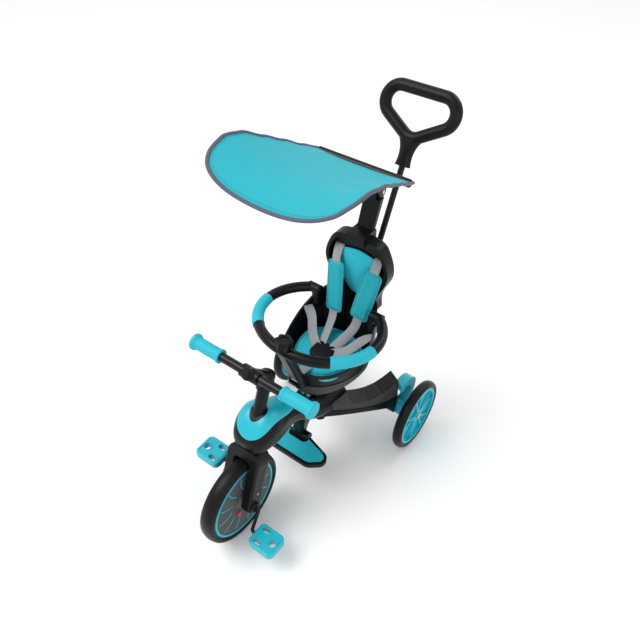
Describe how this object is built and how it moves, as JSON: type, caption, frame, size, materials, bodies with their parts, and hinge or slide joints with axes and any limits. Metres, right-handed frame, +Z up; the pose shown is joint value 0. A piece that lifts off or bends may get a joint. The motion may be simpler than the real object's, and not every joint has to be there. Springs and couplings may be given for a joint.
{
  "type": "children's tricycle",
  "caption": "Children's pedal tricycle with a bucket seat and harness, lifting safety ring, folding footrest, telescoping push bar and a tilting sun canopy.",
  "frame": {"origin": "on the ground under the middle of the overall box", "axes": "+Z up, the front wheel towards -Y, the child's left side towards +X"},
  "size_m": [0.4498, 0.8871, 0.9476],
  "materials": {
    "tyre": "matt foam rubber with fine tread",
    "black_plastic": "fine-grained black plastic",
    "grey_plastic": "ribbed dark grey plastic",
    "disc_grey": "satin dark grey plastic",
    "teal_plastic": "satin teal plastic",
    "teal_rubber": "matt teal grip rubber",
    "teal_fabric": "woven teal cloth",
    "webbing": "ribbed grey webbing",
    "piping": "dark blue-grey piping",
    "black_tube": "powder-coated black tube",
    "steel": "zinc-plated steel",
    "red_plastic": "gloss red plastic"
  },
  "bodies": {
    "frame": {"frame_main": "black_plastic", "leg_treads": "grey_plastic", "seat_mount": "black_plastic", "seat_bolts": "steel", "frame_cover": "teal_plastic", "head_bush": "black_plastic", "knob_base": "black_plastic", "rear_brackets": "teal_plastic", "rear_axles": "steel", "footrest_pod": "black_plastic", "footrest_pin": "steel", "seat_skirt": "grey_plastic", "seat_shell": "black_plastic", "seat_trims": "teal_plastic", "seat_pad": "teal_fabric", "back_pad": "teal_fabric", "shoulder_straps": "webbing", "waist_straps": "webbing", "shoulder_pads": "teal_fabric", "buckle": "black_plastic", "crotch_strap": "webbing", "ring_pins": "steel", "ring_post": "black_plastic", "push_socket": "black_plastic", "push_bar_lower": "black_tube", "canopy_post": "black_plastic", "canopy_pin": "steel"},
    "steering": {"fork": "black_plastic", "steering_column": "black_plastic", "handlebar_clamp": "black_plastic", "steering_screws": "steel", "handlebar_tube": "black_tube", "grips": "teal_rubber", "crank_collars": "black_plastic"},
    "clamp_button": {"clamp_button": "black_plastic"},
    "front_wheel": {"front_tyre": "tyre", "front_rim": "teal_plastic", "front_inlays": "teal_plastic", "front_disc": "disc_grey"},
    "clutch_button": {"clutch_button": "red_plastic"},
    "crank": {"crank_rod": "black_tube"},
    "pedal_left": {"pedal_left": "teal_plastic"},
    "pedal_right": {"pedal_right": "teal_plastic"},
    "rear_wheel_left": {"rear_tyre_left": "tyre", "rear_rim_left": "teal_plastic"},
    "rear_wheel_right": {"rear_tyre_right": "tyre", "rear_rim_right": "teal_plastic"},
    "footrest": {"footrest_tray": "black_plastic", "footrest_mat": "teal_rubber"},
    "release_knob": {"release_knob": "black_plastic"},
    "ring": {"safety_ring": "black_plastic", "ring_grips": "teal_rubber"},
    "ring_knob": {"ring_knob": "black_plastic"},
    "push_upper": {"push_bar_upper": "black_tube", "push_handle": "black_plastic"},
    "canopy": {"canopy_bracket": "black_plastic", "canopy_bar": "black_tube", "canopy_sheet": "teal_fabric", "canopy_piping": "piping"}
  },
  "joints": [
    {"name": "steer", "type": "hinge", "parent": "frame", "child": "steering", "pos_m": [0, -0.322, 0.125], "axis": [0, 0.3746, 0.9272], "range_deg": [-35, 35]},
    {"name": "clamp_button_press", "type": "slide", "parent": "steering", "child": "clamp_button", "axis": [0, 0.6947, -0.7193], "range_m": [0, 0.003], "stiffness_N_per_m": 300},
    {"name": "front_wheel_spin", "type": "hinge", "parent": "steering", "child": "front_wheel", "pos_m": [0, -0.322, 0.125], "axis": [1, 0, 0], "continuous": true},
    {"name": "clutch_button_press", "type": "slide", "parent": "front_wheel", "child": "clutch_button", "axis": [-1, 0, 0], "range_m": [0, 0.003], "stiffness_N_per_m": 300},
    {"name": "crank_spin", "type": "hinge", "parent": "steering", "child": "crank", "pos_m": [0, -0.322, 0.125], "axis": [1, 0, 0], "continuous": true},
    {"name": "pedal_left_spin", "type": "hinge", "parent": "crank", "child": "pedal_left", "pos_m": [0, -0.35496, 0.07014], "axis": [1, 0, 0], "continuous": true},
    {"name": "pedal_right_spin", "type": "hinge", "parent": "crank", "child": "pedal_right", "pos_m": [0, -0.28904, 0.17986], "axis": [1, 0, 0], "continuous": true},
    {"name": "rear_wheel_left_spin", "type": "hinge", "parent": "frame", "child": "rear_wheel_left", "pos_m": [0.211, 0.177, 0.104], "axis": [1, 0, 0], "continuous": true},
    {"name": "rear_wheel_right_spin", "type": "hinge", "parent": "frame", "child": "rear_wheel_right", "pos_m": [-0.211, 0.177, 0.104], "axis": [1, 0, 0], "continuous": true},
    {"name": "footrest_fold", "type": "hinge", "parent": "frame", "child": "footrest", "pos_m": [0, -0.074, 0.116], "axis": [1, 0, 0], "range_deg": [0, 90]},
    {"name": "release_knob_turn", "type": "hinge", "parent": "frame", "child": "release_knob", "pos_m": [0, 0.013, 0.12], "axis": [0, 0, 1], "range_deg": [0, 90]},
    {"name": "ring_lift", "type": "hinge", "parent": "frame", "child": "ring", "pos_m": [0, 0.11784, 0.45621], "axis": [-1, 0, 0], "range_deg": [0, 70]},
    {"name": "ring_knob_turn", "type": "hinge", "parent": "ring", "child": "ring_knob", "pos_m": [0, -0.12698, 0.48281], "axis": [0, 0.108, 0.9942], "range_deg": [0, 90]},
    {"name": "push_bar_slide", "type": "slide", "parent": "frame", "child": "push_upper", "axis": [0, 0.4163, 0.9092], "range_m": [-0.15, 0]},
    {"name": "canopy_tilt", "type": "hinge", "parent": "frame", "child": "canopy", "pos_m": [0, 0.228, 0.735], "axis": [1, 0, 0], "range_deg": [-20, 25]}
  ],
  "couplings": [
    {"joint": "crank_spin", "follows": "front_wheel_spin", "ratio": 1}
  ]
}
